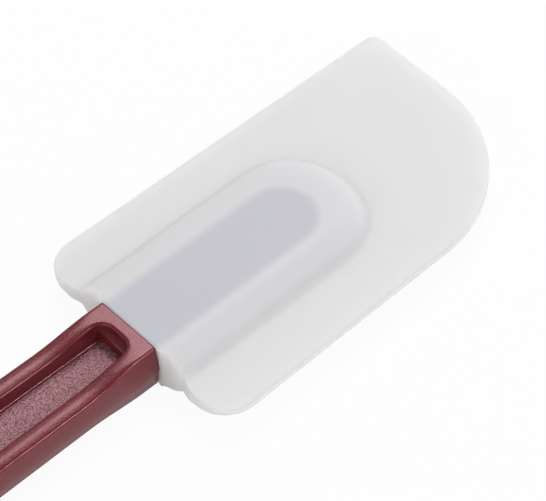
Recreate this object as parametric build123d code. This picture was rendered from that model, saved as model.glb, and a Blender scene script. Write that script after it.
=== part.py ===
from build123d import *
import math
import os

# Frame: the spatula lies flat on the plane z = 0, along X, with the blade's tip at +X.
# The origin is the centre of its footprint. All lengths are in millimetres, all angles in degrees.

# Whole object
overall_length = 342.0
shoulder_thickness = 14.4  # the boss and the handle's block are flush, and the spatula lies on them

# Blade, seen from above
blade_length = 122.0
blade_base_width = 70.0
blade_tip_width = 68.4
base_corner_radius = 9.8
tip_corner_radius = 3.2
sweep_radius = 43.4  # the large round corner at the tip
sweep_rise = 36.2  # from the swept side to the start of the tip edge
sweep_start = 43.9  # back from the tip
sweep_end_radius = 17.4

# Blade, thickness of the wings
wing_root_thickness = 4.8
wing_edge_thickness = 2.0
wing_edge_land = 1.2  # the upright band left between the two bevels of the free edge
wing_edge_bevel = 45.0

# Boss: the blade's thick middle
boss_base_width = 40.4
boss_front_width = 41.0
boss_length = 75.4  # from the shoulder to the front of the arch
boss_side_radius = 9.5  # its sides and front fall away in this round, from both faces to mid height
boss_rear_radius = 0.3
arch_corner_share = 0.9  # of half the boss's width
notch_depth = 0.8  # the boss and the block meet this far inside the base edge
notch_margin = 0.8  # beyond each side of the boss
notch_radius = 1.0

# Handle, seen from above
block_width = 22.4
butt_width = 24.8
butt_corner_share = 0.88  # of half the butt's width

# Handle, seen from the side
grip_thickness = 10.8
block_length = 5.5  # full thickness, before the dip
dip_length = 18.0
side_draft = 9.2  # both ways from the parting line at mid height
outer_edge_radius = 0.9
block_front_radius = 0.35  # the block's front edges are nearly sharp, and the blade butts on them

# Recess in each face of the handle, at its floor
rim_width = 5.95
end_wall = 4.3
web_thickness = 2.0
recess_front_share = 0.62  # corner radius, of half the recess's width there
recess_rear_share = 0.78
recess_draft = 4.0
recess_lip_radius = 0.8
recess_floor_radius = 0.8

# Butt and hang hole
butt_pad_length = 27.0
hang_hole_diameter = 9.0
hang_hole_inset = 13.0  # from the butt's end to the hole's centre
hang_hole_edge_radius = 0.8

# Tongue inside the blade
tongue_side_step = 1.4  # narrower than the block, each side
tongue_skin = 2.2  # silicone above and below it
tongue_cover = 13.9  # from its end to the front of the arch
tongue_end_share = 0.94  # corner radius, of half its width
tongue_edge_radius = 1.6

overrun = 5.0  # every cutting solid runs on by this much
level_share = 0.5  # an edge that climbs by less than this share of its length counts as level

# Places along X, and the parting plane at mid height
tip_x = overall_length / 2
butt_x = -overall_length / 2
base_x = tip_x - blade_length
shoulder_x = base_x + notch_depth
boss_front_x = shoulder_x + boss_length
dip_start_x = shoulder_x - block_length
dip_end_x = dip_start_x - dip_length
mid_z = shoulder_thickness / 2
mid_plane = Plane.XY.offset(mid_z)

# The handle's sides open out in a straight line from the block to the butt
side_slope = (butt_width - block_width) / 2 / (shoulder_x - butt_x)


def handle_half_width(x):
    """Half the handle's width at a place along X, at the parting line."""
    return block_width / 2 + (shoulder_x - x) * side_slope


def rounded(face, corners):
    """The face with each named corner rounded by its own radius."""
    for point, radius in corners:
        nearest = face.vertices().sort_by_distance(Vector(*point))[0]
        face = fillet(nearest, radius)
    return face


def tapered_plan(rear_x, half_rear, front_x, half_front, rear_radius=0, front_radius=0):
    """A face alike on both sides of X, straight sided, with its ends' corners rounded or square."""
    rear = [(rear_x, -half_rear), (rear_x, half_rear)]
    front = [(front_x, half_front), (front_x, -half_front)]
    face = make_face(Polyline(*rear, *front, close=True))
    if rear_radius:
        face = rounded(face, [(point, rear_radius) for point in rear])
    if front_radius:
        face = rounded(face, [(point, front_radius) for point in front])
    return face


def mirrored_profile(stations):
    """A face from (place, half thickness) stations, alike above and below mid height."""
    upper = [(place, mid_z + half) for place, half in stations]
    lower = [(place, mid_z - half) for place, half in reversed(stations)]
    return make_face(Polyline(*upper, *lower, close=True))


def level_edges(solid):
    """The solid's edges that run more along its plan than up and down."""
    return solid.edges().filter_by(lambda edge: abs(edge.tangent_at(0.5).Z) < level_share)


def sweep_arc():
    """The large round corner: an arc that leaves the near side without a kink."""
    side_turn = math.atan((blade_base_width - blade_tip_width) / 2 / blade_length)
    start_x = tip_x - sweep_start
    start_y = -blade_base_width / 2 + (start_x - base_x) * math.tan(side_turn)
    turn = math.acos((sweep_radius - sweep_rise) / sweep_radius) - side_turn
    side_direction = (math.cos(side_turn), math.sin(side_turn))
    return JernArc((start_x, start_y), side_direction, sweep_radius, math.degrees(turn))


def blade_outline():
    """The blade from above: straight base and sides, a small tip corner and a large swept one."""
    sweep = sweep_arc()
    base_near = (base_x, -blade_base_width / 2)
    base_far = (base_x, blade_base_width / 2)
    tip_far = (tip_x, blade_tip_width / 2)
    edges = [
        Line(base_near, sweep @ 0),
        sweep,
        Line(sweep @ 1, tip_far),
        Line(tip_far, base_far),
        Line(base_far, base_near),
    ]
    corners = [
        (base_near, base_corner_radius),
        (base_far, base_corner_radius),
        (tip_far, tip_corner_radius),
        (sweep @ 1, sweep_end_radius),
    ]
    return rounded(make_face(edges), corners)


def free_edge_sheet():
    """The blade's outline as a sheet of the root's thickness, with bevelled free edges."""
    outline = blade_outline()
    land = extrude(mid_plane * outline, amount=wing_edge_land / 2, both=True)
    bevel_plane = mid_plane.offset(wing_edge_land / 2)
    bevel_height = (wing_root_thickness - wing_edge_land) / 2
    bevel = extrude(bevel_plane * outline, amount=bevel_height, taper=wing_edge_bevel)
    return land + bevel + mirror(bevel, about=mid_plane)


def sweep_thinning(root, edge):
    """A cone round the sweep's centre, which thins the blade towards the large round corner."""
    centre = sweep_arc().center_point
    thinning_width = (blade_base_width - boss_front_width) / 2
    stations = [
        (0, root), (sweep_radius - thinning_width, root),
        (sweep_radius, edge), (blade_base_width, edge),
    ]
    cone = revolve(Plane.XZ * mirrored_profile(stations), axis=Axis.Z)
    behind = Box(
        overall_length, 2 * blade_base_width, 2 * shoulder_thickness,
        align=(Align.MAX, Align.CENTER, Align.CENTER)
    )
    return Pos(centre.X, centre.Y, 0) * cone + Pos(centre.X, 0, mid_z) * behind


def wings():
    """The blade without its boss: thickest beside the boss, thinning to every free edge."""
    root = wing_root_thickness / 2
    edge = wing_edge_thickness / 2
    half_boss = boss_front_width / 2
    half_base = blade_base_width / 2
    past_side = half_base + overrun
    across = mirrored_profile(
        [(-past_side, edge), (-half_base, edge), (-half_boss, root),
         (half_boss, root), (half_base, edge), (past_side, edge)]
    )
    along = mirrored_profile(
        [(base_x - overrun, root), (boss_front_x, root), (tip_x, edge), (tip_x + overrun, edge)]
    )
    across_plane = Plane.YZ.offset(base_x - overrun)
    sheet = free_edge_sheet()
    sheet &= extrude(across_plane * across, amount=blade_length + 2 * overrun)
    sheet &= extrude(Plane.XZ * along, amount=past_side, both=True)
    return sheet & sweep_thinning(root, edge)


def boss():
    """The thick middle of the blade: an arched slab whose sides and front fall away in a round."""
    half_front = boss_front_width / 2
    arch_radius = half_front * arch_corner_share
    plan = tapered_plan(
        shoulder_x, boss_base_width / 2, boss_front_x, half_front, front_radius=arch_radius
    )
    top_plane = Plane.XY.offset(shoulder_thickness)
    slab = extrude(top_plane * plan, amount=-boss_side_radius - overrun)
    top_edges = slab.edges().group_by(Axis.Z)[-1]
    rear_edges = top_edges.group_by(Axis.X)[0]
    slab = fillet(top_edges - rear_edges, boss_side_radius)
    upper = slab & extrude(mid_plane * plan, amount=shoulder_thickness)
    rear_outline = upper.faces().sort_by(Axis.X)[0].edges()
    upper = fillet(rear_outline - rear_outline.group_by(Axis.Z)[0], boss_rear_radius)
    return upper + mirror(upper, about=mid_plane)


def notch():
    """The shallow step in the blade's base edge, where the boss meets the handle's block."""
    half = boss_base_width / 2 + notch_margin
    depth = notch_depth + overrun
    plan = tapered_plan(shoulder_x - depth, half + depth, shoulder_x, half, front_radius=notch_radius)
    return extrude(mid_plane * plan, amount=shoulder_thickness, both=True)


def dipped_profile():
    """The handle from the side: a thick block, a dip of two equal arcs, then the flat grip."""
    thick = shoulder_thickness / 2
    thin = grip_thickness / 2
    past_butt = butt_x - overrun
    dip_middle = ((dip_start_x + dip_end_x) / 2, (thick + thin) / 2)
    upper_arc = TangentArc((dip_start_x, thick), dip_middle, tangent=(-1, 0))
    lower_arc = TangentArc(dip_middle, (dip_end_x, thin), tangent=upper_arc % 1)
    edges = [
        Line((shoulder_x, thick), (dip_start_x, thick)),
        upper_arc,
        lower_arc,
        Line((dip_end_x, thin), (past_butt, thin)),
        Line((past_butt, thin), (past_butt, 0)),
        Line((past_butt, 0), (shoulder_x, 0)),
        Line((shoulder_x, 0), (shoulder_x, thick)),
    ]
    upper = make_face(edges)
    return upper + mirror(upper, about=Plane.XZ)


def handle_blank():
    """The handle before its recesses: drafted both ways from mid height, with dipped faces."""
    past_shoulder = shoulder_x + overrun
    plan = tapered_plan(
        butt_x, butt_width / 2, past_shoulder, handle_half_width(past_shoulder),
        rear_radius=butt_width / 2 * butt_corner_share
    )
    upper = extrude(mid_plane * plan, amount=shoulder_thickness / 2, taper=side_draft)
    body = upper + mirror(upper, about=mid_plane)
    body &= Pos(0, 0, mid_z) * extrude(Plane.XZ * dipped_profile(), amount=butt_width, both=True)
    off_parting_line = lambda edge: abs(edge.center().Z - mid_z) > outer_edge_radius
    outer_edges = level_edges(body).filter_by(off_parting_line)
    front_edges = outer_edges.group_by(Axis.X)[-1]
    body = fillet(outer_edges - front_edges, outer_edge_radius)
    front_face = body.faces().sort_by(Axis.X)[-1]
    return fillet(front_face.edges(), block_front_radius)


def recess():
    """The solid that cuts the upper recess: drafted walls and a floor with rounded edges."""
    front_x = shoulder_x - end_wall
    rear_x = butt_x + butt_pad_length
    half_front = handle_half_width(front_x) - rim_width
    half_rear = handle_half_width(rear_x) - rim_width
    plan = tapered_plan(
        rear_x, half_rear, front_x, half_front,
        half_rear * recess_rear_share, half_front * recess_front_share
    )
    floor_plane = mid_plane.offset(web_thickness / 2)
    depth = (shoulder_thickness - web_thickness) / 2 + overrun
    pocket = extrude(floor_plane * plan, amount=depth, taper=-recess_draft)
    return fillet(pocket.edges().group_by(Axis.Z)[0], recess_floor_radius)


def tongue():
    """The part of the handle inside the blade: a flat bar with a rounded end."""
    half = block_width / 2 - tongue_side_step
    end_x = boss_front_x - tongue_cover
    plan = tapered_plan(dip_start_x, half, end_x, half, front_radius=half * tongue_end_share)
    half_thickness = shoulder_thickness / 2 - tongue_skin
    bar = extrude(mid_plane * plan, amount=half_thickness, both=True)
    bar_edges = level_edges(bar)
    root_edges = bar_edges.group_by(Axis.X)[0]
    return fillet(bar_edges - root_edges, tongue_edge_radius)


def handle():
    """The whole handle moulding: recessed grip, block and hang hole, with the tongue."""
    blank = handle_blank()
    upper_recess = recess()
    lower_recess = mirror(upper_recess, about=mid_plane)
    grip = blank - upper_recess - lower_recess
    lips = new_edges(blank, upper_recess, lower_recess, combined=grip)
    grip = fillet(lips, recess_lip_radius)
    hole = Cylinder(hang_hole_diameter / 2, shoulder_thickness + overrun)
    hole = Pos(butt_x + hang_hole_inset, 0, mid_z) * hole
    holed = grip - hole
    hole_rims = new_edges(grip, hole, combined=holed)
    return fillet(hole_rims, hang_hole_edge_radius) + tongue()


def blade(moulded_round):
    """The silicone, moulded round the tongue and against the end of the block."""
    return wings() + boss() - notch() - moulded_round


if __name__ == "__main__":
    os.makedirs("parts", exist_ok=True)
    handle_moulding = handle()
    export_step(handle_moulding, "parts/handle.step")
    export_step(blade(handle_moulding), "parts/blade.step")
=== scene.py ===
"""A silicone scraper spatula: a maroon handle with a recess in each face, its tongue moulded into
an off-white blade that is square at one tip corner and swept round at the other.

Both pieces are alike above and below the plane at mid height, so each is worked out as its upper
half, with heights measured from that plane, and mirrored.
"""
import math

import bmesh
import bpy
import numpy as np
from mathutils import Matrix, Vector


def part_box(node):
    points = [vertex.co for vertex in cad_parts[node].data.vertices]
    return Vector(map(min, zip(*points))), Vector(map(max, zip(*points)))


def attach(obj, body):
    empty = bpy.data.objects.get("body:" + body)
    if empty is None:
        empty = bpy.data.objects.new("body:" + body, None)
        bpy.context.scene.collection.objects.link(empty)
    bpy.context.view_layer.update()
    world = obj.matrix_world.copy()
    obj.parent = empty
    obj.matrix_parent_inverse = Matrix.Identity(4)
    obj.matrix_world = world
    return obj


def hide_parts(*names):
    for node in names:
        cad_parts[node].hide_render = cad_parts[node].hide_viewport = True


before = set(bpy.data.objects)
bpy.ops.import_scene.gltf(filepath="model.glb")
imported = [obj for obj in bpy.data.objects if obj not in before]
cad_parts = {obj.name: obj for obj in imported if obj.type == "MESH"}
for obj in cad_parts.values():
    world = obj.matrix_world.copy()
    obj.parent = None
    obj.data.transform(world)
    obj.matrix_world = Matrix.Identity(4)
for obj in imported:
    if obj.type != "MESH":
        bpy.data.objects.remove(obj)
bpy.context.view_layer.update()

mm = 0.001

# Places that the frame gives
handle_low, handle_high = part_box("handle")
blade_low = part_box("blade")[0]
mid_z = (handle_low.z + handle_high.z) / 2
half_thickness = (handle_high.z - handle_low.z) / 2
butt_x = handle_low.x
half_butt = handle_high.y
base_x = blade_low.x

# Blade, seen from above
blade_length = 122.0 * mm
half_base = 35.0 * mm
half_tip = 34.2 * mm
base_corner_radius = 9.8 * mm
tip_corner_radius = 3.2 * mm
sweep_radius = 43.4 * mm
sweep_rise = 36.2 * mm
sweep_start = 43.9 * mm
sweep_end_radius = 17.4 * mm
tip_x = base_x + blade_length

# Blade, half the thickness of the wings and the round of the free edge
wing_root = 2.4 * mm
wing_edge = 1.0 * mm
wing_softness_share = 0.06
edge_round = 0.5 * mm

# Boss
half_boss_base = 20.2 * mm
half_boss_front = 20.5 * mm
boss_length = 75.4 * mm
boss_side_radius = 9.5 * mm
boss_rear_round = 1.3 * mm
arch_fullness_share = 0.04
crease_radius = 3.0 * mm
notch_depth = 0.8 * mm
notch_start = 18.0 * mm
notch_end = 22.5 * mm
shoulder_x = base_x + notch_depth
boss_front_x = shoulder_x + boss_length
arch_x = boss_front_x - half_boss_front

# Seam of the blade on the handle's block: the lap is full up to the block's side and a little past
# it, and gone at its end. Both places are measured from the block's side
seam_round = 0.05 * mm
seam_cover = 0.4 * mm
seam_cover_full = 0.2 * mm
seam_cover_end = 3.0 * mm

# Handle, seen from above
half_block = 11.2 * mm
butt_corner_radius = 10.9 * mm
block_corner_radius = 0.8 * mm

# Handle, seen from the side
half_grip = 5.4 * mm
block_length = 5.5 * mm
dip_length = 18.0 * mm
side_draft = math.radians(9.2)
outer_edge_radius = 0.9 * mm
front_edge_radius = 0.75 * mm
front_edge_fade = 2.2 * mm
rim_crown = 0.3 * mm
crown_fade = 8.0 * mm
dip_start_x = shoulder_x - block_length
dip_end_x = dip_start_x - dip_length

# Recess in each face
rim_width = 5.95 * mm
end_wall = 4.3 * mm
floor_height = 1.0 * mm
recess_front_radius = 3.2 * mm
recess_rear_radius = 4.9 * mm
recess_draft = math.radians(4)
lip_radius = 0.8 * mm
floor_radius = 0.8 * mm
recess_front_x = shoulder_x - end_wall

# Butt pad and hang hole
butt_pad_length = 27.0 * mm
pad_edge_x = butt_x + 23.5 * mm
hang_hole_x = butt_x + 13.0 * mm
hang_hole_radius = 4.5 * mm
hang_hole_round = 0.8 * mm
recess_rear_x = butt_x + butt_pad_length

# Tongue inside the blade
half_tongue = 9.8 * mm
tongue_height = 5.0 * mm
tongue_end_x = boss_front_x - 13.9 * mm
tongue_end_radius = 9.2 * mm
tongue_round = 1.6 * mm

# How finely the meshes are divided: steps along the outlines
side_counts = (50, 36, 12)
corner_steps, front_steps = 6, 12
pad_steps, butt_steps, butt_edge_steps = 5, 16, 4
recess_rear_corner_steps, recess_rear_steps = 10, 8
side_division_margin = 1.0 * mm
tongue_counts = (12, 12, 2, 12, 12)
free_edge_counts = (0, 0, 30, 12, 2, 12, 2, 0)
side_columns = 48
arch_steps = 66
traced_steps = 4000
least_step = 0.3 * mm

# How finely the meshes are divided: rows across them, as counts, turns or shares of the way
draft_shares = np.array([0, 0.5, 0.9, 0.97])
outer_round_rows = 8
rim_rows = 9
lip_rows = 8
wall_shares = (0.06, 0.5, 0.94)
floor_round_rows = 7
floor_shares = (0.08, 0.4, 0.7, 1)
pad_rows = 7
hole_round_rows = 7
last_wall_shares = (0.1, 1)
tongue_round_turns = np.radians([22.5, 45, 67.5, 90])
tongue_top_shares = np.array([1, 2, 3]) / 3
boss_side_rows = 14
crease_rows = 8
crease_margin = 0.5 * mm
wing_rows = 12
edge_round_rows = 6
weld_distance = 0.002 * mm

# Marks of the blade: painted shade, full on the boss, less at the crease's foot and gone at a share
# of the wing, and painted light growing from row to row over the edge's round
crease_foot_shade = 0.35
wing_shade_share = 0.25
edge_light_marks = [0, 0, 0.1, 0.3, 0.6, 1]


# ---------------------------------------------------------------- paths in plan

def trace(path, distance):
    """Points and outward normals at distances along a path of straight runs and arcs.

    A stretch that turns by T over its length puts the point at share u of it on a chord of length
    times sinc(T u / 2), half of that turn away from the stretch's own heading. The path goes round
    its shape anticlockwise, so the outward normal is the heading turned a quarter to the right.
    """
    start, heading, lengths, turns = path
    lengths, turns = np.array(lengths), np.array(turns)
    headings = heading + np.concatenate([[0], np.cumsum(turns)[:-1]])
    chords = lengths * np.sinc(turns / 2 / np.pi)
    middle = headings + turns / 2
    steps = chords[:, None] * np.stack([np.cos(middle), np.sin(middle)], 1)
    corners = np.array(start) + np.concatenate([[[0, 0]], np.cumsum(steps, 0)[:-1]])
    ends = np.cumsum(lengths)
    stretch = np.clip(np.searchsorted(ends, distance, side="right"), 0, len(lengths) - 1)
    into = distance - (ends - lengths)[stretch]
    bend = turns[stretch] * into / lengths[stretch]
    toward = headings[stretch] + bend / 2
    reach = into * np.sinc(bend / 2 / np.pi)
    points = corners[stretch] + reach[:, None] * np.stack([np.cos(toward), np.sin(toward)], 1)
    ahead = headings[stretch] + bend
    return points, np.stack([np.sin(ahead), -np.cos(ahead)], 1)


def stations(lengths, counts):
    """Distances along a path whose stretches are each divided evenly into their own steps."""
    return np.concatenate([
        end - length + length * np.arange(count) / count
        for end, length, count in zip(np.cumsum(lengths), lengths, counts)
    ])


def tapered_path(rear_x, half_rear, front_x, half_front, rear_radius, front_radius):
    """The outline of a bar alike on both sides of X, with straight sides and rounded corners.

    It starts where the near side leaves the rear corner. A corner that turns by T with radius R
    takes R tan(T / 2) of each side that meets there.
    """
    lean = math.atan2(half_rear - half_front, front_x - rear_x)
    front_turn = math.pi / 2 - lean
    rear_turn = math.pi / 2 + lean
    front_cut = front_radius * math.tan(front_turn / 2)
    rear_cut = rear_radius * math.tan(rear_turn / 2)
    side = math.hypot(front_x - rear_x, half_rear - half_front) - front_cut - rear_cut
    start = (rear_x + rear_cut * math.cos(lean), -half_rear + rear_cut * math.sin(lean))
    front_corner, rear_corner = front_radius * front_turn, rear_radius * rear_turn
    lengths = [
        side, front_corner, 2 * (half_front - front_cut), front_corner,
        side, rear_corner, 2 * (half_rear - rear_cut), rear_corner,
    ]
    turns = [0, front_turn, 0, front_turn, 0, rear_turn, 0, rear_turn]
    return start, lean, lengths, turns


def blade_path():
    """The blade's free outline, from the middle of the near base corner round the tip.

    It ends at the middle of the far base corner.
    The sweep's arc ends in a tighter arc that touches both it and the tip edge: its centre lies the
    tighter radius inside the tip edge, and the difference of the radii from the sweep's centre.
    """
    narrowing = half_base - half_tip
    lean = math.atan2(narrowing, blade_length)
    along = Vector((math.cos(lean), math.sin(lean)))
    inward = Vector((-math.sin(lean), math.cos(lean)))
    sweep_y = -half_base + (blade_length - sweep_start) * math.tan(lean)
    sweep_from = Vector((tip_x - sweep_start, sweep_y))
    centre = sweep_from + inward * sweep_radius
    reach = math.acos((sweep_radius - sweep_rise) / sweep_radius)
    sweep_to = centre + Vector((math.sin(reach), -math.cos(reach))) * sweep_radius

    # The tip edge, from the sweep's end to the far corner, and the tighter arc's centre beside it
    corner = Vector((tip_x, half_tip))
    tip_way = (corner - sweep_to).normalized()
    tip_inward = Vector((-tip_way.y, tip_way.x))
    level = sweep_to + tip_inward * sweep_end_radius - centre
    ahead = level.dot(tip_way)
    apart = sweep_radius - sweep_end_radius
    slide = -ahead - math.sqrt(ahead ** 2 - level.length_squared + apart ** 2)
    small_centre = centre + level + tip_way * slide
    touch = small_centre - centre
    sweep_turn = math.atan2(touch.y, touch.x) + math.pi / 2 - lean
    tip_heading = math.atan2(tip_way.y, tip_way.x)
    small_turn = tip_heading - lean - sweep_turn
    corner_turn = math.pi - lean - tip_heading
    corner_cut = tip_corner_radius * math.tan(corner_turn / 2)
    tip_run = (corner - small_centre).dot(tip_way) - corner_cut

    # The sides and the halves of the base corners
    base_turn = math.pi / 2 + lean
    base_cut = base_corner_radius * math.tan(base_turn / 2)
    side_from = Vector((base_x, -half_base)) + along * base_cut
    near_run = (sweep_from - side_from).length
    far_run = math.hypot(blade_length, narrowing) - base_cut - corner_cut
    half_corner = base_corner_radius * base_turn / 2
    heading = lean - base_turn / 2
    from_centre = Vector((math.sin(heading), -math.cos(heading))) * base_corner_radius
    start = side_from + inward * base_corner_radius + from_centre
    lengths = [
        half_corner, near_run, sweep_radius * sweep_turn, sweep_end_radius * small_turn,
        tip_run, tip_corner_radius * corner_turn, far_run, half_corner,
    ]
    turns = [base_turn / 2, 0, sweep_turn, small_turn, 0, corner_turn, 0, base_turn / 2]
    return tuple(start), heading, lengths, turns


# ---------------------------------------------------------------- meshes

class Shell:
    """Grids of points gathered into one closed mesh. Heights are from mid height."""

    def __init__(self):
        self.points, self.quads, self.marks, self.count = [], [], {}, 0

    def grid(self, rows, closed=False, **marks):
        """Adds a grid of points, rows by columns, with quads between neighbours.

        closed joins each row's last point to its first. A mark is one value for each row.
        """
        rows = np.asarray(rows, float)
        height, width = rows.shape[:2]
        number = self.count + np.arange(height * width).reshape(height, width)
        if closed:
            number = np.concatenate([number, number[:, :1]], 1)
        quads = np.stack([number[:-1, :-1], number[:-1, 1:], number[1:, 1:], number[1:, :-1]], 2)
        self.points.append(rows.reshape(-1, 3))
        self.quads.append(quads.reshape(-1, 4))
        for name, by_row in marks.items():
            values = np.repeat(np.asarray(by_row, float), width)
            self.marks.setdefault(name, []).append((self.count, values))
        self.count += height * width

    def build(self, name):
        """The mesh object of these grids and their mirror image, welded, with faces outwards."""
        upper = np.concatenate(self.points)
        quads = np.concatenate(self.quads)
        points = np.concatenate([upper, upper * [1, 1, -1]]) + [0, 0, mid_z]
        quads = np.concatenate([quads, quads[:, ::-1] + self.count])
        mesh = bpy.data.meshes.new(name)
        mesh.vertices.add(len(points))
        mesh.vertices.foreach_set("co", points.ravel())
        mesh.loops.add(quads.size)
        mesh.loops.foreach_set("vertex_index", quads.ravel())
        mesh.polygons.add(len(quads))
        mesh.polygons.foreach_set("loop_start", np.arange(0, quads.size, 4))
        for mark, stretches in self.marks.items():
            values = np.zeros((2, self.count))
            for first, part in stretches:
                values[:, first:first + len(part)] = part
            attribute = mesh.attributes.new(mark, "FLOAT", "POINT")
            attribute.data.foreach_set("value", values.ravel())
        mesh.update(calc_edges=True)
        work = bmesh.new()
        work.from_mesh(mesh)
        bmesh.ops.remove_doubles(work, verts=work.verts, dist=weld_distance)
        bmesh.ops.dissolve_degenerate(work, edges=work.edges, dist=weld_distance)
        bmesh.ops.recalc_face_normals(work, faces=work.faces)
        work.to_mesh(mesh)
        work.free()
        mesh.shade_smooth()
        return add_object(name, mesh)


def add_object(name, data):
    """A new object of the scene."""
    new = bpy.data.objects.new(name, data)
    bpy.context.scene.collection.objects.link(new)
    return new


def raised(plan, height):
    """Plan points with a height each, or one for all."""
    height = np.broadcast_to(height, plan.shape[:-1])
    return np.concatenate([plan, height[..., None]], -1)


def offset_rows(plan, outward, out, height):
    """Rows of plan points moved outwards. Each row or point has its own distance and height."""
    return raised(plan + outward * out[..., None], height)


def between(first, last, shares):
    """Rows from one row of points to another, at the given shares of the way."""
    shares = np.asarray(shares, float).reshape(-1, *[1] * first.ndim)
    return first + (last - first) * shares


def turns_between(first, last, count):
    """Evenly spaced angles, one for each row of a round."""
    return np.linspace(first, last, count)[:, None]


def eased(share):
    """A smooth step: the share squared times 3 minus twice the share, held between 0 and 1."""
    share = np.clip(share, 0, 1)
    return share * share * (3 - 2 * share)


def level_marks(count):
    """Marks of a level strip's rows: 1, and half at its first and last row."""
    return [0.5] + [1] * (count - 2) + [0.5]


# ---------------------------------------------------------------- handle

def half_width(x):
    """Half the handle's width at mid height: a straight taper from the block to the butt."""
    share = (shoulder_x - x) / (shoulder_x - butt_x)
    return half_block + (half_butt - half_block) * share


def handle_top(x):
    """Height of the handle's faces: full on the block, then two equal parabolas to the grip."""
    share = np.clip((dip_start_x - x) / dip_length, 0, 1)
    fall = np.where(share < 0.5, 2 * share ** 2, 1 - 2 * (1 - share) ** 2)
    return half_thickness - (half_thickness - half_grip) * fall


def crown(x):
    """How far the rim's middle stands over its edges: nothing on the block and the pad."""
    front = eased((recess_front_x - x) / crown_fade)
    rear = eased((x - pad_edge_x) / crown_fade)
    return rim_crown * front * rear


def rim_edge(x):
    """Height of the rim's two edges: that of the faces less the crown."""
    return handle_top(x) - crown(x)


def side_stretches(rear_x, front_x):
    """A side's run divided at the dip's foot and just behind the recess's front corner."""
    corner_x = recess_front_x - recess_front_radius - side_division_margin
    lean = math.atan2(half_butt - half_block, shoulder_x - butt_x)
    return list(np.diff([rear_x, dip_end_x, corner_x, front_x]) / math.cos(lean))


def tongue_surface(root_x):
    """The tongue's upper half from root_x to its round end: side, rounded edge, level top.

    The rounded edge is a quarter circle between the side and the top.
    """
    _, _, lengths, turns = tapered_path(
        2 * root_x - tongue_end_x, half_tongue, tongue_end_x, half_tongue,
        tongue_end_radius, tongue_end_radius,
    )
    side = tongue_end_x - root_x - tongue_end_radius
    lengths = [side, *lengths[1:4], side]
    distance = np.append(stations(lengths, tongue_counts), sum(lengths))
    edge, normal = trace(((root_x, -half_tongue), 0.0, lengths, turns[:5]), distance)
    turn = tongue_round_turns[:, None]
    rounded = offset_rows(
        edge, normal,
        -tongue_round * (1 - np.cos(turn)),
        tongue_height - tongue_round * (1 - np.sin(turn)),
    )
    spine_x = np.clip(edge[:, 0], root_x, tongue_end_x - half_tongue)
    spine = raised(np.stack([spine_x, 0 * spine_x], 1), tongue_height)
    return np.array([
        raised(edge, 0), raised(edge, tongue_height - tongue_round), *rounded,
        *between(rounded[-1], spine, tongue_top_shares),
    ])


def add_side(shell):
    """Adds the drafted side and the outer edge's round, and returns their last row, the rim.

    The round's circle touches the side and the rim. Across the block's front the draft only draws
    the sides in, and the round is small.
    """
    start, lean, lengths, turns = tapered_path(
        butt_x, half_butt, shoulder_x, half_block, butt_corner_radius, block_corner_radius
    )
    pad_run = (pad_edge_x - start[0]) / math.cos(lean)
    side_runs = side_stretches(pad_edge_x, start[0] + lengths[0] * math.cos(lean))
    divided = [pad_run, *side_runs, *lengths[1:4], *side_runs[::-1], pad_run, *lengths[5:]]
    plan, normal = trace((start, lean, lengths, turns), stations(divided, (
        pad_steps, *side_counts, corner_steps, front_steps, corner_steps,
        *side_counts[::-1], pad_steps, butt_steps, butt_edge_steps, butt_steps,
    )))
    x = plan[:, 0]
    on_block = x > dip_start_x
    outward = np.where(on_block[:, None], plan * [0, 1] / half_width(x)[:, None], normal)
    radius = np.interp(
        x, [shoulder_x - front_edge_fade, shoulder_x - block_corner_radius],
        [outer_edge_radius, front_edge_radius],
    )
    draft = side_draft * (1 - np.abs(normal[:, 0]) * on_block)
    centre_height = rim_edge(x) - radius
    side_top = centre_height + radius * np.sin(draft)
    height = side_top * draft_shares[:, None]
    side = offset_rows(plan, outward, -height * math.tan(side_draft), height)
    foot = plan - outward * side_top[:, None] * math.tan(side_draft)
    turn = draft + (math.pi / 2 - draft) * turns_between(0, 1, outer_round_rows)
    rounded = offset_rows(
        foot, normal,
        radius * (np.cos(turn) - np.cos(draft)),
        centre_height + radius * np.sin(turn),
    )
    rows = np.concatenate([side, rounded])
    shell.grid(rows, closed=True, level=[0] * (len(rows) - 1) + [0.5])
    return rows[-1]


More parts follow.
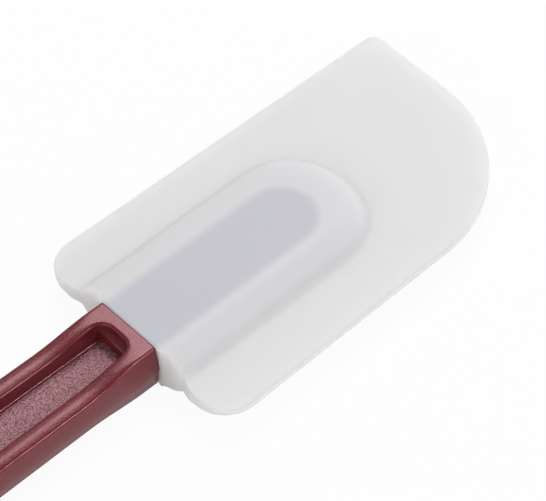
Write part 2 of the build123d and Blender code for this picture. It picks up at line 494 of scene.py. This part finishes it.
def add_rims_and_recess(shell, rim, first, last):
    """Adds the top from the pad's edge forwards, inwards to the recess's floor.

    first and last are the rim's points at the pad's edge. Returns the chord between them, which
    the pad shares. The recess's lip and its floor's round are arcs that touch its drafted wall.
    """
    half_front = half_width(recess_front_x) - rim_width
    half_rear = half_width(recess_rear_x) - rim_width
    start, lean, lengths, turns = tapered_path(
        recess_rear_x, half_rear, recess_front_x, half_front,
        recess_rear_radius, recess_front_radius,
    )
    side_runs = side_stretches(start[0], start[0] + lengths[0] * math.cos(lean))
    divided = [*side_runs, *lengths[1:4], *side_runs[::-1], *lengths[5:]]
    mouth, mouth_normal = trace((start, lean, lengths, turns), stations(divided, (
        *side_counts, corner_steps, front_steps, corner_steps, *side_counts[::-1],
        recess_rear_corner_steps, recess_rear_steps, recess_rear_corner_steps,
    )))
    chord_steps = 2 * recess_rear_corner_steps + recess_rear_steps
    across = (1 - mouth[-chord_steps:, 1] / mouth[-chord_steps, 1]) / 2
    chord = rim[last] + (rim[first] - rim[last]) * across[:, None]
    loop = np.concatenate([rim[first:last], chord])

    # The lip, from the rim's inner edge down to the wall
    tangent, secant = math.tan(recess_draft), 1 / math.cos(recess_draft)
    lip_base = rim_edge(mouth[:, 0]) - lip_radius
    lip_reach = (lip_base - floor_height) * tangent + lip_radius * secant
    turn = turns_between(math.pi / 2, recess_draft, lip_rows)
    lip = offset_rows(
        mouth, mouth_normal,
        lip_reach - lip_radius * np.cos(turn),
        lip_base + lip_radius * np.sin(turn),
    )

    # The rim, crowned between its edges
    shares = np.linspace(0, 1, rim_rows)
    strip = between(loop, lip[0], shares)
    x = strip[:, :, 0]
    strip[:, :, 2] = rim_edge(x) + crown(x) * (1 - (2 * shares[:, None] - 1) ** 2)
    strip[0], strip[-1] = loop, lip[0]
    shell.grid(strip, closed=True, level=level_marks(rim_rows))

    # The wall, the round at its foot and the floor in to the recess's spine
    turn = turns_between(recess_draft, math.pi / 2, floor_round_rows)
    rounded = offset_rows(
        mouth, mouth_normal,
        floor_radius * (tangent - secant) + floor_radius * np.cos(turn),
        floor_height + floor_radius * (1 - np.sin(turn)),
    )
    wall = between(lip[-1], rounded[0], wall_shares)
    spine_x = np.clip(mouth[:, 0], recess_rear_x + half_rear, recess_front_x - half_front)
    spine = raised(np.stack([spine_x, 0 * spine_x], 1), floor_height)
    floor = between(rounded[-1], spine, floor_shares)
    rows = np.concatenate([lip, wall, rounded, floor])
    grained = len(floor) + 1
    shell.grid(
        rows, closed=True, level=[0.5] + [0] * (len(rows) - 1),
        ground=[0] * (len(rows) - grained) + [1] * grained,
    )
    return chord


def add_pad_and_hole(shell, rear_loop):
    """Adds the level pad inside a loop of points, the hang hole's rounded edge and its wall."""
    centre = np.array([hang_hole_x, 0])
    away = rear_loop[:, :2] - centre
    away = away / np.linalg.norm(away, axis=1)[:, None]
    turn = turns_between(math.pi / 2, 0, hole_round_rows)
    hole = offset_rows(
        centre, away,
        hang_hole_radius + hang_hole_round * (1 - np.cos(turn)),
        half_grip - hang_hole_round * (1 - np.sin(turn)),
    )
    pad = between(rear_loop, hole[0], np.linspace(0, 1, pad_rows))
    shell.grid(pad, closed=True, level=level_marks(pad_rows))
    bore = between(hole[-1], hole[-1] * [1, 1, 0], last_wall_shares)
    rows = np.concatenate([hole, bore])
    shell.grid(rows, closed=True, level=[0.5] + [0] * (len(rows) - 1))


def handle_piece():
    """The handle: its side, rims and recess, pad and hang hole, and the tongue from the block."""
    shell = Shell()
    rim = add_side(shell)
    first = pad_steps
    last = first + 2 * sum(side_counts) + 2 * corner_steps + front_steps
    chord = add_rims_and_recess(shell, rim, first, last)
    add_pad_and_hole(shell, np.concatenate([rim[last:], rim[:first + 1], chord[:0:-1]]))
    tongue = tongue_surface(dip_start_x)
    shell.grid(tongue)
    for root in (tongue[:, 0], tongue[:, -1]):
        shell.grid([root, root * [1, 1, 0]])
    return shell.build("handle_moulding")


# ---------------------------------------------------------------- blade

def rear_edge(y):
    """Where the blade's rear edge lies: at the handle's shoulder across the boss, then easing out.

    It laps over the round of the block's front edge and corners.
    """
    beside = np.abs(y)
    notch = eased((beside - notch_start) / (notch_end - notch_start))
    lap = eased((half_block + seam_cover_end - beside) / (seam_cover_end - seam_cover_full))
    return shoulder_x - notch_depth * notch - seam_cover * lap


def rear_round(y):
    """Radius of the rear edge's round: hardly any where the block butts on it, large beside it."""
    beside = np.abs(y)
    fade = eased((beside - notch_start) / (notch_end - notch_start))
    large = boss_rear_round + (edge_round - boss_rear_round) * fade
    return seam_round + (large - seam_round) * eased((beside - half_block) / (2 * edge_round))


def arch_reach(angle):
    """Distance from the arch's centre to its outline, fuller than a circle on the diagonals."""
    return half_boss_front * (1 + arch_fullness_share * np.sin(2 * angle) ** 2)


def boss_half(x):
    """Half the boss's width: a straight taper from the handle's shoulder to the arch."""
    share = np.clip((x - shoulder_x) / (arch_x - shoulder_x), 0, 1)
    return half_boss_base + (half_boss_front - half_boss_base) * share


def boss_depth(x, y):
    """How far inside the boss's outline a plan point lies, less than nothing outside it."""
    ahead = np.maximum(x - arch_x, 0)
    radial = arch_reach(np.arctan2(np.abs(y), ahead)) - np.hypot(ahead, y)
    return np.where(x < arch_x, boss_half(x) - np.abs(y), radial)


def wing_height(x, y):
    """Half the wings' thickness: the soft least of the falls to the sides, the tip and the sweep.

    The soft least of some shares s is minus k times the log of the sum of exp(-s / k).
    """
    half = half_base + (half_tip - half_base) * (x - base_x) / blade_length
    fall = half_base - half_boss_front
    sweep_x = tip_x - sweep_start
    narrowing = (half_base - half_tip) * (sweep_x - base_x) / blade_length
    sweep_y = sweep_radius - half_base + narrowing
    beside = (half - np.abs(y)) / fall
    ahead = (tip_x - x) / (tip_x - boss_front_x)
    swept = (sweep_radius - np.hypot(x - sweep_x, y - sweep_y)) / fall
    swept = np.where((x > sweep_x) & (y < sweep_y), swept, beside)
    shares = np.stack([beside, ahead, swept, np.ones_like(beside)])
    least = -wing_softness_share * np.log(np.exp(-shares / wing_softness_share).sum(0))
    return wing_edge + (wing_root - wing_edge) * least


def blade_height(x, y):
    """Half the blade's thickness: the boss's round side, a hollow round at its foot, the wing.

    The hollow round touches both. Its centre stands its own radius over the wing, and the sum of
    both radii from the centre of the boss's round.
    """
    depth = boss_depth(x, y)
    wing = wing_height(x, y)
    round_centre = half_thickness - boss_side_radius
    inward = np.clip(boss_side_radius - depth, 0, boss_side_radius)
    boss = round_centre + np.sqrt(boss_side_radius ** 2 - inward ** 2)
    over = wing + crease_radius - round_centre
    apart = boss_side_radius + crease_radius
    hollow_depth = boss_side_radius - np.sqrt(apart ** 2 - over ** 2)
    touch_depth = boss_side_radius * (1 - np.sqrt(1 - (over / apart) ** 2))
    across = np.clip(depth - hollow_depth, 0, crease_radius)
    hollow = wing + crease_radius - np.sqrt(crease_radius ** 2 - across ** 2)
    return np.where(depth < touch_depth, hollow, boss)


def free_edge_distances(path):
    """Distances round the free edge: even beside the boss, then even turns round the tip.

    The turns are seen from the arch's centre, and the sweep and the tip corner have more steps.
    Steps that would be too short are left out.
    """
    total, corner_run = sum(path[2]), path[2][0]
    near_run = corner_run + arch_x - trace(path, np.array([corner_run]))[0][0, 0]
    far_run = total - near_run
    fine = np.linspace(near_run, far_run, traced_steps + 1)
    points = trace(path, fine)[0]
    seen = np.arctan2(points[:, 1], points[:, 0] - arch_x)
    even = np.interp(np.linspace(seen[0], seen[-1], arch_steps + 1), seen, fine)
    tip = np.sort(np.concatenate([even, stations(path[2], free_edge_counts)]))
    tip = tip[(tip > near_run + least_step) & (tip < far_run - least_step)]
    tip = tip[np.diff(tip, prepend=0) > least_step]
    beside = near_run * column_shares()
    return np.concatenate([beside, [near_run], tip, [far_run], total - beside[::-1]])


def column_shares():
    """The columns beside the boss, as shares of the way from the rear edge to the arch."""
    return np.arange(side_columns) / side_columns


def boss_plan(section, inner_edge):
    """Rows over the boss, from its spine out past the crease, as plan points.

    Those on its level top meet the tongue's section, and the others keep their depth. Beside the
    boss the columns run across it, and round its arch they fan out from the arch's centre.
    """
    fan = inner_edge[side_columns:-side_columns]
    angle = np.arctan2(fan[:, 1], fan[:, 0] - arch_x)
    angle[0], angle[-1] = -math.pi / 2, math.pi / 2
    top_shares = section[:, 1:2] / (half_boss_base - boss_side_radius)
    over = wing_root + crease_radius - (half_thickness - boss_side_radius)
    apart = boss_side_radius + crease_radius
    lowest = math.asin(over / apart)
    side_turns = np.linspace(math.pi / 2, lowest, boss_side_rows)
    foot = boss_side_radius - apart * math.cos(lowest)
    crease_turns = np.linspace(lowest, math.pi / 2, crease_rows)[1:]
    depths = np.concatenate([
        boss_side_radius * (1 - np.cos(side_turns)),
        foot + crease_radius * np.cos(crease_turns),
        [foot - crease_margin],
    ])[:, None]
    shares = column_shares()
    side_half = boss_half(shoulder_x + (arch_x - shoulder_x) * shares)
    reach = arch_reach(angle)
    side_y, arch_out = (
        np.concatenate([top_shares * (half - boss_side_radius), half - depths])
        for half in (side_half, reach)
    )
    rear_x = rear_edge(side_y[:, :1]) + rear_round(side_y[:, :1])
    side_x = rear_x + (arch_x - rear_x) * shares
    near_side = np.stack([side_x, -side_y], 2)
    arch = np.stack([arch_x + arch_out * np.cos(angle), arch_out * np.sin(angle)], 2)
    return np.concatenate([near_side, arch, near_side[:, ::-1] * [1, -1]], 1)


def wing_plan(path, start, inner_edge, spread):
    """Rows over the wings at shares of the way from a row to the free edge, as plan points.

    Both ends are pulled onto the rear edge and the base corner by what they miss it by, less and
    less up to the arch. The rear edge's normals are returned too.
    """
    corner_run, corner_turn = path[2][0], path[3][0]
    first_y = start[0, 1]
    centre_y = -half_base + base_corner_radius * math.tan(corner_turn)
    rear_path = (
        (base_x, first_y), -math.pi / 2, [first_y - centre_y, corner_run], [0, corner_turn]
    )
    rear, rear_normal = trace(rear_path, sum(rear_path[2]) * spread)
    rear[:, 0] += np.where(rear[:, 1] > centre_y, rear_edge(rear[:, 1]) - base_x, 0)
    wings = between(start, inner_edge, spread)
    miss = rear - rear_normal * edge_round - wings[:, 0]
    miss = miss[:, None] * (1 - column_shares()[:, None])
    wings[:, :side_columns] += miss
    wings[:, :-side_columns - 1:-1] += miss * [1, -1]
    return wings, rear_normal


def blade_piece():
    """The blade: columns of points run from the boss's spine out to the free edge's round.

    A wall closes the rear, round the hollow that the tongue fills.
    """
    shell = Shell()
    path = blade_path()
    edge, edge_normal = trace(path, free_edge_distances(path))
    inner_edge = edge - edge_normal * edge_round
    tongue = tongue_surface(shoulder_x)
    section = tongue[:0:-1, 0] * [1, -1, 1]
    boss = boss_plan(section, inner_edge)
    spread = np.linspace(0, 1, wing_rows + 1)
    wings, rear_normal = wing_plan(path, boss[-1], inner_edge, spread)
    plan = np.concatenate([boss, wings[1:]])
    height = blade_height(plan[..., 0], plan[..., 1])
    # Painted shade: full over the boss, less down the crease and fading out over the first share of
    # the wing
    crease_shade_marks = np.linspace(1, crease_foot_shade, crease_rows)
    wing_shade_marks = crease_foot_shade * np.clip(1 - spread[1:] / wing_shade_share, 0, 1)
    shell.grid(
        raised(plan, height),
        thick=[1] * (len(boss) - crease_rows) + [*crease_shade_marks, *wing_shade_marks],
    )

    # The edge's round, all the way: out along the rear edge, round the free edge and back
    rear_out = np.concatenate([np.tile(rear_normal[0], (len(boss), 1)), rear_normal[1:]])
    chain = np.concatenate([plan[:-1, 0], plan[-1], plan[-2::-1, -1]])
    chain_out = np.concatenate([rear_out[:-1], edge_normal, rear_out[-2::-1] * [1, -1]])
    chain_height = np.concatenate([height[:-1, 0], height[-1], height[-2::-1, -1]])
    number = np.arange(len(chain))
    at_rear = np.minimum(number, number[::-1]) < len(boss)
    round_radius = np.where(at_rear, rear_round(chain[:, 1]), edge_round)
    turn = turns_between(0, math.pi / 2, edge_round_rows)
    rounded = offset_rows(
        chain, chain_out,
        round_radius * np.sin(turn),
        chain_height - round_radius * (1 - np.cos(turn)),
    )

    # The rear wall down to the tongue's section, or to mid height beside it, and the hollow
    ceiling = np.minimum(tongue_height - tongue_round, rounded[-1, :, 2])
    ceiling[:len(section)] = section[:, 2]
    ceiling[-len(section):] = section[::-1, 2]
    wall_foot = raised(rounded[-1, :, :2], ceiling)
    wall = between(rounded[-1], wall_foot, last_wall_shares)
    # Painted light: the edge's round paler from row to row, and the walls below it paler all over
    shell.grid([*rounded, *wall], thin=edge_light_marks + [1] * len(wall))
    outside = slice(len(section) - 1, len(chain) - len(section) + 1)
    shell.grid([wall_foot[outside], wall_foot[outside] * [1, 1, 0]], thin=[1, 1])
    shell.grid(tongue)
    return shell.build("blade_moulding")


# ---------------------------------------------------------------- nodes

class Wire:
    """An output of a node. Arithmetic on it adds Math nodes."""

    def __init__(self, looks, socket):
        self.looks, self.socket = looks, socket

    def __add__(self, other):
        return self.looks.maths("ADD", self, other)

    def __sub__(self, other):
        return self.looks.maths("SUBTRACT", self, other)

    def __rsub__(self, other):
        return self.looks.maths("SUBTRACT", other, self)

    def __mul__(self, other):
        return self.looks.maths("MULTIPLY", self, other)


class Looks:
    """The nodes of a material or of the world."""

    def __init__(self, owner):
        owner.use_nodes = True
        self.owner, self.tree = owner, owner.node_tree
        self.tree.nodes.clear()

    def node(self, kind, settings, sockets, output=0):
        """Adds a node: first its settings, then the value or link of each socket named."""
        new = self.tree.nodes.new("ShaderNode" + kind)
        for name, value in settings.items():
            setattr(new, name, value)
        for name, value in sockets.items():
            if isinstance(value, Wire):
                self.tree.links.new(value.socket, new.inputs[name])
            else:
                new.inputs[name].default_value = value
        return Wire(self, new.outputs[output]) if new.outputs else None

    def maths(self, operation, *values, clamped=False):
        """The result of a Math node."""
        settings = {"operation": operation, "use_clamp": clamped}
        return self.node("Math", settings, dict(enumerate(values)))

    def step(self, value, low, high):
        """A smooth step of a value: 0 up to low, 1 from high."""
        return self.node(
            "MapRange", {"interpolation_type": "SMOOTHSTEP"},
            {"Value": value, "From Min": low, "From Max": high},
        )

    def mix(self, share, first, second):
        """A colour that share of the way from the first to the second."""
        return self.node(
            "Mix", {"data_type": "RGBA"}, {0: share, 6: opaque(first), 7: opaque(second)}, 2
        )

    def coordinates(self, kind="Object"):
        """Coordinates: the object's own, in metres, unless another kind is asked for."""
        return self.node("TexCoord", {}, {}, kind)

    def part(self, vector, axis):
        """One of a vector's three parts."""
        return self.node("SeparateXYZ", {}, {"Vector": vector}, axis)

    def noise(self, vector, size, detail=2, roughness=0.5):
        """Noise whose features are about that size across."""
        return self.node("TexNoise", {}, {
            "Vector": vector, "Scale": 1 / size, "Detail": detail, "Roughness": roughness
        })

    def mark(self, name):
        """A mark that the mesh carries at its points."""
        return self.node("Attribute", {"attribute_name": name}, {}, "Fac")

    def ray(self, kind):
        """1 for rays of that kind, such as the camera's own, and 0 for the others."""
        return self.node("LightPath", {}, {}, f"Is {kind} Ray")


def opaque(colour):
    """A colour with its fourth value, or the wire of one as it is."""
    return colour if isinstance(colour, Wire) else (*colour, 1)


# ---------------------------------------------------------------- looks

# Nylon: colours, with painted glints and painted shade among them, the fine satin grain of level
# faces and the coarse grain of the recess floors. The grain's roughness is the share that each
# finer octave of the noise keeps
nylon_maroon = (0.17, 0.013, 0.02)
nylon_shade = (0.125, 0.009, 0.014)
nylon_glint = (0.46, 0.24, 0.275)
nylon_pit_shade = (0.03, 0.005, 0.008)
nylon_mottle_size = 6 * mm
fine_grain_size = 0.3 * mm
coarse_grain_size = 0.28 * mm
grain_detail, grain_roughness = 1, 0.6
grain_height = 0.06 * mm
fine_speck_from, fine_speck_to = 0.42, 0.72
coarse_speck_from, coarse_speck_to = 0.44, 0.56
pit_from, pit_to = 0.36, 0.47

# How much relief, specks of painted glint and roughness there is everywhere, what level faces and
# recess floors add to it, and how far the pits take on their painted shade
base_relief, level_relief, ground_relief = 0.12, 0.8, 2.2
base_glint, level_glint = 0.06, 0.28
base_roughness, level_roughness, ground_roughness = 0.15, 0.15, 0.22
pit_shade_share = 0.8
nylon_index = 1.5
nylon_sheen = 0.78
nylon_sheen_tint = (1.0, 0.62, 0.65)

# Silicone: colours of the wings, the painted shade of the thinnest part of the free edge and of the
# boss, the painted light on the rounded rear and free edges, and the colour over the tongue
silicone_white = (0.77, 0.768, 0.77)
silicone_edge_shade = (0.63, 0.627, 0.63)
silicone_thick = (0.715, 0.71, 0.725)
silicone_thin = (0.92, 0.91, 0.91)
silicone_over_tongue = (0.59, 0.587, 0.645)
silicone_roughness = 0.5
silicone_index = 1.41
silicone_scatter = 4 * mm

# Half the blade's thickness where the painted shade of the free edge is full, and where it is gone
edge_shade_full = 0.85
edge_shade_gone = 1.1

# The tongue as it shows through the silicone: its end, half its width, how far its outline blurs
# either way, and how far it lies to the near side. These and the edge's painted shade are in
# millimetres
seen_tongue_end = 110.6
seen_half_tongue = 9.75
seen_tongue_blur = 1.5
seen_tongue_shift = 0.6


def nylon_looks():
    """Maroon nylon: a fine satin grain on level faces, a coarse sparkling one on recess floors.

    The relief is the fine noise, most on level faces, plus the coarse noise on the floors. Specks
    are its high places, painted lighter as glints, which also lay a painted sheen on level faces,
    and pits are the floors' low ones, painted dark as shade. Roughness is least on the sides.
    """
    looks = Looks(bpy.data.materials.new("maroon_nylon"))
    vector = looks.coordinates()
    level, ground = looks.mark("level"), looks.mark("ground")
    fine = looks.noise(vector, fine_grain_size, grain_detail, grain_roughness)
    coarse = looks.noise(vector, coarse_grain_size, grain_detail, grain_roughness)
    relief = fine * (level * level_relief + base_relief) + coarse * ground * ground_relief
    # Painted glints: light specks on the grain's high places, most on level faces, which they make
    # lighter as a painted sheen
    fine_glint = looks.step(fine, fine_speck_from, fine_speck_to)
    fine_glint = fine_glint * (level * level_glint + base_glint)
    coarse_glint = looks.step(coarse, coarse_speck_from, coarse_speck_to) * ground
    # Painted shade in the floors' pits
    pit_shade = (1 - looks.step(coarse, pit_from, pit_to)) * ground * pit_shade_share
    colour = looks.mix(looks.noise(vector, nylon_mottle_size), nylon_shade, nylon_maroon)
    colour = looks.mix(fine_glint + coarse_glint, colour, nylon_glint)
    colour = looks.mix(pit_shade, colour, nylon_pit_shade)
    bump = looks.node("Bump", {}, {"Height": relief, "Distance": grain_height})
    roughness = level * level_roughness + ground * ground_roughness + base_roughness
    surface = looks.node("BsdfPrincipled", {}, {
        "Base Color": colour, "Roughness": roughness, "IOR": nylon_index,
        "Specular IOR Level": nylon_sheen, "Specular Tint": opaque(nylon_sheen_tint),
        "Normal": bump,
    })
    looks.node("OutputMaterial", {}, {"Surface": surface})
    return looks.owner


def silicone_looks():
    """Milky silicone, with painted shade that darkens it over the boss and painted light that makes
    the rounds of its edges paler.

    It has painted shade that greys the thin free edge, and it is darker and bluer over the tongue:
    within the tongue's half width of its spine, as the square root of the sum of the squares of the
    distances beside the spine and past its end.
    """
    looks = Looks(bpy.data.materials.new("milky_silicone"))
    vector = looks.coordinates()
    x, y, z = (looks.part(vector, axis) * (1 / mm) for axis in range(3))
    ahead = looks.maths("MAXIMUM", x - (seen_tongue_end - seen_half_tongue), 0)
    beside = y + seen_tongue_shift
    apart = looks.maths("SQRT", ahead * ahead + beside * beside)
    over_tongue = 1 - looks.step(
        apart, seen_half_tongue - seen_tongue_blur, seen_half_tongue + seen_tongue_blur
    )
    # Painted shade: greyer near mid height, on the thin free edge
    depth = looks.maths("ABSOLUTE", z - half_thickness / mm)
    inside = looks.step(depth, edge_shade_full, edge_shade_gone)
    colour = looks.mix(inside, silicone_edge_shade, silicone_white)
    # Painted shade over the boss and the crease's foot
    colour = looks.mix(looks.mark("thick"), colour, silicone_thick)
    # Painted light on the rounded edges and the walls
    colour = looks.mix(looks.mark("thin"), colour, silicone_thin)
    colour = looks.mix(over_tongue, colour, silicone_over_tongue)
    surface = looks.node("BsdfPrincipled", {}, {
        "Base Color": colour, "Roughness": silicone_roughness, "IOR": silicone_index,
        "Subsurface Weight": 1.0, "Subsurface Radius": (1.0, 1.0, 1.0),
        "Subsurface Scale": silicone_scatter,
    })
    looks.node("OutputMaterial", {}, {"Surface": surface})
    return looks.owner


# ---------------------------------------------------------------- stage

# The camera, by what it looks at and where it stands from there
view_centre = Vector((95.57, -3.15, 7.2)) * mm
view_distance = 529.68 * mm
view_bearing = math.radians(43.846)
view_rise = math.radians(50.08)
sensor_width = 36
lens_length = 135.84

# Lamps, floor and world. The floor glows for the camera and in mirrors by these shares. The world
# is dim overhead and brighter near the horizon, between these heights on the unit sphere
softbox_distance = 2.0
floor_half_size = 3.0
floor_grey = (0.9, 0.9, 0.9)
glow_seen, glow_mirrored = 0.94, 0.4
world_overhead, world_low_extra = 0.22, 1.1
horizon_from, horizon_to = 0.05, 0.4
white = (1, 1, 1, 1)


def facing(toward):
    """A turn whose third axis points that way and whose first axis is level."""
    back = Vector(toward).normalized()
    right = Vector((0, 0, 1)).cross(back).normalized()
    return Matrix((right, back.cross(right), back)).transposed().to_4x4()


def add_camera():
    """The camera, placed by its bearing and rise over the point that it looks at."""
    camera = add_object("camera", bpy.data.cameras.new("camera"))
    camera.data.sensor_width = sensor_width
    camera.data.lens = lens_length
    back = Vector((
        -math.cos(view_rise) * math.sin(view_bearing),
        -math.cos(view_rise) * math.cos(view_bearing),
        math.sin(view_rise),
    ))
    camera.matrix_world = Matrix.Translation(view_centre + back * view_distance) @ facing(back)
    bpy.context.scene.camera = camera


def add_softbox(name, direction, width, height, radiance):
    """An area lamp that faces the object. Its power is pi times its area times its radiance."""
    lamp = bpy.data.lights.new(name, "AREA")
    lamp.shape, lamp.size, lamp.size_y = "RECTANGLE", width, height
    lamp.energy = math.pi * width * height * radiance
    direction = Vector(direction).normalized()
    place = view_centre + direction * softbox_distance
    add_object(name, lamp).matrix_world = Matrix.Translation(place) @ facing(direction)


def add_floor():
    """A pale floor that reads as white from the camera and keeps a faint shadow."""
    mesh = bpy.data.meshes.new("floor")
    low, high = -floor_half_size, floor_half_size
    corners = [(low, low, 0), (high, low, 0), (high, high, 0), (low, high, 0)]
    mesh.from_pydata(corners, [], [(0, 1, 2, 3)])
    floor = add_object("floor", mesh)
    looks = Looks(bpy.data.materials.new("pale_floor"))
    lit = looks.node("BsdfDiffuse", {}, {"Color": opaque(floor_grey)})
    glow = looks.node("Emission", {}, {"Color": white, "Strength": 1.0})
    glowing = looks.ray("Camera") * glow_seen + looks.ray("Glossy") * glow_mirrored
    share = looks.maths("ADD", glowing, looks.ray("Transmission"), clamped=True)
    surface = looks.node("MixShader", {}, {0: share, 1: lit, 2: glow})
    looks.node("OutputMaterial", {}, {"Surface": surface})
    mesh.materials.append(looks.owner)


def add_world():
    """A dim world, brighter near the horizon, and white where the camera sees it."""
    world = bpy.data.worlds.new("world")
    bpy.context.scene.world = world
    looks = Looks(world)
    seen = looks.maths("ADD", looks.ray("Camera"), looks.ray("Transmission"), clamped=True)
    height = looks.part(looks.coordinates("Generated"), 2)
    low = 1 - looks.step(height, horizon_from, horizon_to)
    strength = low * world_low_extra + world_overhead
    dim = looks.node("Background", {}, {"Color": white, "Strength": strength})
    bright = looks.node("Background", {}, {"Color": white, "Strength": 1.0})
    surface = looks.node("MixShader", {}, {0: seen, 1: dim, 2: bright})
    looks.node("OutputWorld", {}, {"Surface": surface})


# ---------------------------------------------------------------- scene

bpy.context.scene.view_settings.view_transform = "Standard"

handle_moulding = handle_piece()
handle_moulding.data.materials.append(nylon_looks())
blade_moulding = blade_piece()
blade_moulding.data.materials.append(silicone_looks())

for piece, node, slot in (
    (handle_moulding, "handle", "handle_nylon"),
    (blade_moulding, "blade", "silicone"),
):
    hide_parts(node)
    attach(piece, "root")

add_camera()
add_softbox("key", (0.445, 0.37, 0.815), width=0.95, height=0.95, radiance=7.6)
add_softbox("side", (0.33, -0.71, 0.62), width=0.75, height=0.14, radiance=32)
add_softbox("end", (-0.85, -0.15, 0.5), width=1.6, height=1.0, radiance=1.4)
add_floor()
add_world()
